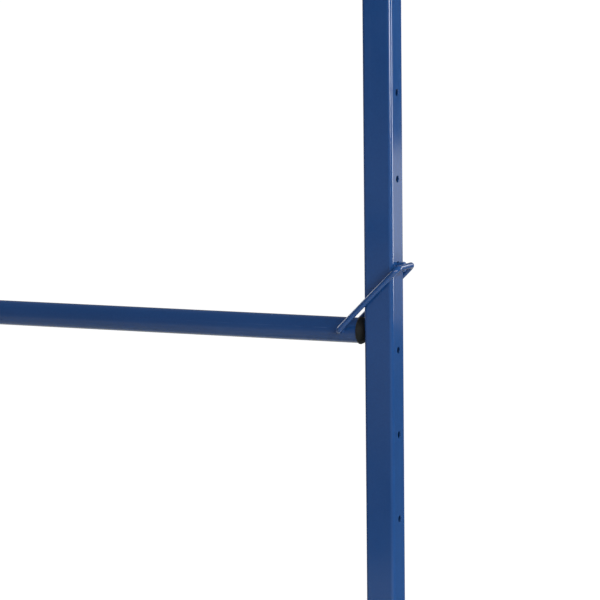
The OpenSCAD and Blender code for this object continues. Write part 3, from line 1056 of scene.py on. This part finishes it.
def build_arm_caps(tag):
    tube_low, tube_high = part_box(f"arm_tube_{tag}")
    mid = centre(f"arm_tube_{tag}")
    bore_r = (tube_high.x - tube_low.x) / 2 - ARM_WALL
    body = f"arm_{tag}"
    low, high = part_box(f"arm_heel_cap_{tag}")
    r = (high.x - low.x) / 2
    dome_h = HEEL_LEN - HEEL_RIM
    dome_z = (r**2 - HEEL_FLAT_R**2 + dome_h**2) / (2 * dome_h)
    dome_r = math.hypot(HEEL_FLAT_R, dome_z)
    profile = []
    for i in range(DOME_STEPS + 1):
        z = dome_h * i / DOME_STEPS
        profile.append((math.sqrt(dome_r**2 - (dome_z - z) ** 2), z))
    profile += [(r, HEEL_LEN - 0.4 * MM), (r - 0.4 * MM, HEEL_LEN)]
    profile += plug_profile(bore_r, HEEL_LEN, high.y - low.y)
    skin = lathe(profile, 96)
    skin.transform(Matrix.Translation((mid.x, high.y, mid.z)) @ Matrix.Rotation(math.radians(90), 4, "X"))
    obj = object_from(skin, f"arm_heel_cap_{tag}_fine")
    soften(obj, 0)
    moulded(obj, body, f"arm_heel_cap_{tag}")
    low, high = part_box(f"arm_tip_cap_{tag}")
    r = (high.x - low.x) / 2
    profile = [(2 * MM, 0.0), (r - TIP_EDGE - 4 * MM, 0.12 * MM)]
    profile += arc(r - TIP_EDGE, TIP_EDGE + 0.15 * MM, TIP_EDGE, -90, 0, 6)
    profile += [(r, TIP_HEAD - 0.3 * MM), (r - 0.3 * MM, TIP_HEAD)]
    profile += plug_profile(bore_r, TIP_HEAD, high.y - low.y)
    skin = lathe(profile, 96)
    skin.transform(Matrix.Translation((mid.x, low.y, mid.z)) @ Matrix.Rotation(math.radians(-90), 4, "X"))
    obj = object_from(skin, f"arm_tip_cap_{tag}_fine")
    soften(obj, 0)
    moulded(obj, body, f"arm_tip_cap_{tag}")


def bent_path(points, radii, steps=12):
    """Polyline through points with each inner corner rounded to its radius."""
    path = [points[0]]
    for before, corner, after, r in zip(points, points[1:], points[2:], radii):
        a = (before - corner).normalized()
        b = (after - corner).normalized()
        half = a.angle(b) / 2
        back = r / math.tan(half)
        middle = corner + (a + b).normalized() * (r / math.sin(half))
        start = corner + a * back - middle
        end = corner + b * back - middle
        turn = start.angle(end)
        for i in range(steps + 1):
            t = i / steps
            mixed = start * math.sin((1 - t) * turn) + end * math.sin(t * turn)
            path.append(middle + mixed / math.sin(turn))
    path.append(points[-1])
    return path


def build_bail(tag):
    """Bent rod with its two end welds and the weld that carries the stud."""
    node = f"arm_bail_{tag}"
    low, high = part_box(node)
    mid = (low + high) / 2
    half = (high.x - low.x) / 2 - ROD_R
    bar = Vector((mid.x, high.y - ROD_R, high.z - ROD_R))
    foot = Vector((mid.x, low.y + ROD_R, low.z + ROD_R))
    tube_low, tube_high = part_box(f"arm_tube_{tag}")
    tube_r = (tube_high.x - tube_low.x) / 2
    axis_z = (tube_low.z + tube_high.z) / 2
    inner = tube_r - ARM_WALL - ROD_PAST
    corners = [
        foot + Vector((-inner, 0, 0)),
        foot + Vector((-half, 0, 0)),
        bar + Vector((-half, 0, 0)),
        bar + Vector((half, 0, 0)),
        foot + Vector((half, 0, 0)),
        foot + Vector((inner, 0, 0)),
    ]
    bm = bmesh.new()
    flat = (bar - foot).cross(Vector((1, 0, 0))).normalized()
    sweep(bm, bent_path(corners, (BEND_LOW, BEND_TOP, BEND_TOP, BEND_LOW)), ROD_R, flat, 32)
    for sign in (-1, 1):

        def on_tube(c, s):
            """Place on the round of the arm tube, just outside the rod."""
            up = (ROD_R + 0.5 * MM) * s
            out = math.sqrt(tube_r**2 - (foot.z + up - axis_z) ** 2)
            return Vector((sign * out, (ROD_R + 0.5 * MM) * c, up))

        bead = ripple(BAIL_WELD, FINE_PITCH, FINE_DEPTH)
        sweep(bm, circled(foot, on_tube), bead, Vector((1, 0, 0)), WELD_SIDES, closed=True)

    def on_bar(c, s):
        """Place on the round of the crossing bar, just inside the stud's collar."""
        up = (COLLAR_R - 0.2 * MM) * s
        fall = math.sqrt(max(ROD_R**2 - up**2, (STUD_WELD_IN * ROD_R) ** 2))
        return Vector(((COLLAR_R - 0.2 * MM) * c, -fall, up))

    bead = ripple(STUD_WELD, FINE_PITCH, FINE_DEPTH)
    sweep(bm, circled(bar, on_bar), bead, Vector((0, 1, 0)), WELD_SIDES, closed=True)
    obj = object_from(bm, node + "_fine")
    soften(obj, 0, angle=50)
    painted(obj, f"arm_{tag}", node, slot="blue_arm")


def build_stud(tag):
    node = f"arm_stud_{tag}"
    low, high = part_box(node)
    mid = (low + high) / 2
    post_side = "left" if tag[0] == "l" else "right"
    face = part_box(f"post_{post_side}")[1].y
    length = high.y - low.y
    shoulder = face - low.y
    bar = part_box(f"arm_bail_{tag}")[1].y - ROD_R
    profile = [(STUD_R - 0.6 * MM, 0), (STUD_R, 0.6 * MM), (STUD_R, shoulder)]
    profile += [(COLLAR_R - 0.4 * MM, shoulder), (COLLAR_R, shoulder + 0.4 * MM), (COLLAR_R, bar - low.y)]
    skin = lathe(profile, 64)
    skin.transform(Matrix.Translation((mid.x, low.y, mid.z)) @ Matrix.Rotation(math.radians(-90), 4, "X"))
    obj = object_from(skin, node + "_fine")
    drill(obj, [rod_at((mid.x, bar, mid.z), (1, 0, 0), ROD_R - 0.1 * MM, 100 * MM, segments=48)])
    soften(obj, 0)
    painted(obj, f"arm_{tag}", node, slot="blue_arm")


for side in SIDES:
    build_post(side)
    build_post_cap(side)
    build_leg(side)
    build_base_plate(side)
    build_gusset(side)
    build_level_foot(side)
    build_frame_welds(side)
    for level in LEVELS:
        tag = f"{side[0]}{level}"
        build_arm_tube(tag)
        build_arm_caps(tag)
        build_bail(tag)
        build_stud(tag)
for name in ("lower", "upper"):
    build_beam(name)
    build_beam_welds(name)
build_beam_fasteners()
build_leg_inserts()


# ---------------------------------------------------------------- stage, light and camera


def build_floor():
    bm = bmesh.new()
    bmesh.ops.create_grid(bm, x_segments=8, y_segments=8, size=FLOOR_SIZE)
    obj = object_from(bm, "studio_floor")
    obj.data.materials.append(pale_floor("pale_floor"))


# The world's light at the horizon and high up, and its shares in front of and behind the rack.
WORLD_LOW = 0.26
WORLD_HIGH = 0.16
WORLD_FRONT = 0.85
WORLD_REAR = 1.1


def build_world():
    """Seen directly the background is white; as light it is soft, brighter low down and behind the rack."""
    world = bpy.data.worlds.new("studio")
    bpy.context.scene.world = world
    world.use_nodes = True
    n = Nodes(world.node_tree)
    out = n.add("ShaderNodeOutputWorld")
    direction = n.add("ShaderNodeTexCoord").outputs["Generated"]
    split = n.add("ShaderNodeSeparateXYZ")
    n.link(direction, split.inputs[0])
    low = n.range(split.outputs["Z"], 0.0, 0.8, WORLD_LOW, WORLD_HIGH)
    rear = n.range(split.outputs["Y"], -0.6, 0.9, WORLD_FRONT, WORLD_REAR)
    level = n.math("MULTIPLY", low, rear)
    light = n.add("ShaderNodeBackground")
    light.inputs["Color"].default_value = (1.0, 1.0, 1.0, 1)
    n.link(level, light.inputs["Strength"])
    seen = n.add("ShaderNodeBackground")
    seen.inputs["Color"].default_value = (1, 1, 1, 1)
    seen.inputs["Strength"].default_value = 1.0
    pick = n.add("ShaderNodeMixShader")
    n.link(n.add("ShaderNodeLightPath").outputs["Is Camera Ray"], pick.inputs[0])
    n.link(light.outputs[0], pick.inputs[1])
    n.link(seen.outputs[0], pick.inputs[2])
    n.link(pick.outputs[0], out.inputs["Surface"])


# Where the big lights look, where the rear ones stand, and the tints of the lights.
LIGHT_AIM = (0, 0.2, 0.9)
REAR_AT = (0.5, 4.2, 3.3)
KEY_COLOUR = (0.90, 1.10, 1.02)
SIDE_COLOUR = (1.06, 0.95, 1.03)


def soft_light(name, at, width, height, power, colour=(1, 1, 1), aim=LIGHT_AIM):
    """Rectangular softbox that the camera doesn't see."""
    data = bpy.data.lights.new(name, "AREA")
    data.shape = "RECTANGLE"
    data.size = width
    data.size_y = height
    data.energy = power
    data.color = colour
    obj = bpy.data.objects.new(name, data)
    bpy.context.scene.collection.objects.link(obj)
    obj.location = at
    obj.rotation_euler = (Vector(aim) - Vector(at)).to_track_quat("-Z", "Y").to_euler()
    obj.visible_camera = False
    return obj


# The camera looks at the middle joint of the left post, from behind and to the right of it. Angles are
# in degrees and the aim is off the joint by these distances, to the right and up.
VIEW_AZIMUTH = 114.4
VIEW_ELEVATION = 7.23
VIEW_ROLL = -0.61
VIEW_DISTANCE = 4.0
VIEW_LENS = 187.4
AIM_RIGHT = -0.1076
AIM_UP = -0.0446

post_mid = centre("post_left")
hook = Vector((post_mid.x, post_mid.y, used[1] + hook_up))

def build_camera():
    a = math.radians(VIEW_AZIMUTH)
    e = math.radians(VIEW_ELEVATION)
    back = Vector((math.sin(a) * math.cos(e), -math.cos(a) * math.cos(e), math.sin(e)))
    level_right = Vector((0, 0, 1)).cross(back).normalized()
    level_up = back.cross(level_right)
    roll = math.radians(VIEW_ROLL)
    right = level_right * math.cos(roll) + level_up * math.sin(roll)
    up = level_up * math.cos(roll) - level_right * math.sin(roll)
    eye = hook + level_right * AIM_RIGHT + level_up * AIM_UP + back * VIEW_DISTANCE
    data = bpy.data.cameras.new("camera")
    data.lens = VIEW_LENS
    data.sensor_width = 36.0
    data.clip_start = 0.05
    data.clip_end = 400.0
    camera = bpy.data.objects.new("camera", data)
    bpy.context.scene.collection.objects.link(camera)
    matrix = Matrix((right, up, back)).transposed().to_4x4()
    matrix.translation = eye
    camera.matrix_world = matrix
    bpy.context.scene.camera = camera


def group_pieces(name, starts):
    """Makes a collection of the pieces whose names start with one of the given words."""
    group = bpy.data.collections.new(name)
    for obj in bpy.context.scene.objects:
        if obj.type == "MESH" and obj.name.startswith(starts):
            group.objects.link(obj)


def card(name, azimuth, rise, distance, width, height, power):
    """Strip light that only the posts, bails and studs mirror. It faces the arm's joint from an azimuth
    that runs from +X towards +Y, and stands above or below the joint by its rise."""
    a = math.radians(azimuth)
    at = hook + Vector((math.cos(a), math.sin(a), 0)) * distance + Vector((0, 0, rise))
    light = soft_light(name, at, width, height, power, aim=(hook.x, hook.y, at.z))
    light.light_linking.receiver_collection = bpy.data.collections["mirroring_pieces"]


# Azimuth of the cards that the post's rear face and the crossing bar mirror into the camera.
FACE_AZIMUTH = 155.6


def build_lights():
    """Cards for the reflections in the paint, and big soft lights for its colour. The rear light is two in
    one place: a strong one that the paint doesn't mirror, and a weak one that it does."""
    group_pieces("mirroring_pieces", ("post_left", "post_right", "arm_bail", "arm_stud"))
    group_pieces("rack_pieces", tuple(frame["nodes"]) + ("frame_welds", "beam_welds"))
    card("face_card", FACE_AZIMUTH, rise=-0.21, distance=3.0, width=1.6, height=0.26, power=1.3)
    card("face_fade_card", FACE_AZIMUTH, rise=-0.40, distance=3.0, width=1.6, height=0.16, power=0.26)
    card("bar_card", FACE_AZIMUTH, rise=0.90, distance=3.0, width=1.2, height=0.8, power=10)
    card("corner_card", 60, rise=0.25, distance=4.0, width=1.25, height=0.70, power=52)
    card("edge_card", 137, rise=-0.15, distance=4.0, width=1.55, height=0.80, power=38)
    rear = soft_light("rear_key", REAR_AT, width=5.0, height=2.8, power=200, colour=KEY_COLOUR)
    rear.visible_glossy = False
    soft_light("rear_gloss", REAR_AT, width=5.0, height=2.8, power=60)
    soft_light("side_fill", (3.5, 2.5, 2.5), width=2.4, height=2.4, power=84, colour=SIDE_COLOUR)
    soft_light("front_fill", (-2.0, -4.5, 3.2), width=3.0, height=2.0, power=70)
    front = soft_light("front_key", (-2.5, -4.5, 2.4), width=3.6, height=2.6, power=220, colour=KEY_COLOUR)
    front.visible_glossy = False
    front.light_linking.receiver_collection = bpy.data.collections["rack_pieces"]


bpy.context.scene.view_settings.view_transform = "Standard"
bpy.context.scene.view_settings.look = "None"
build_floor()
build_world()
build_lights()
build_camera()
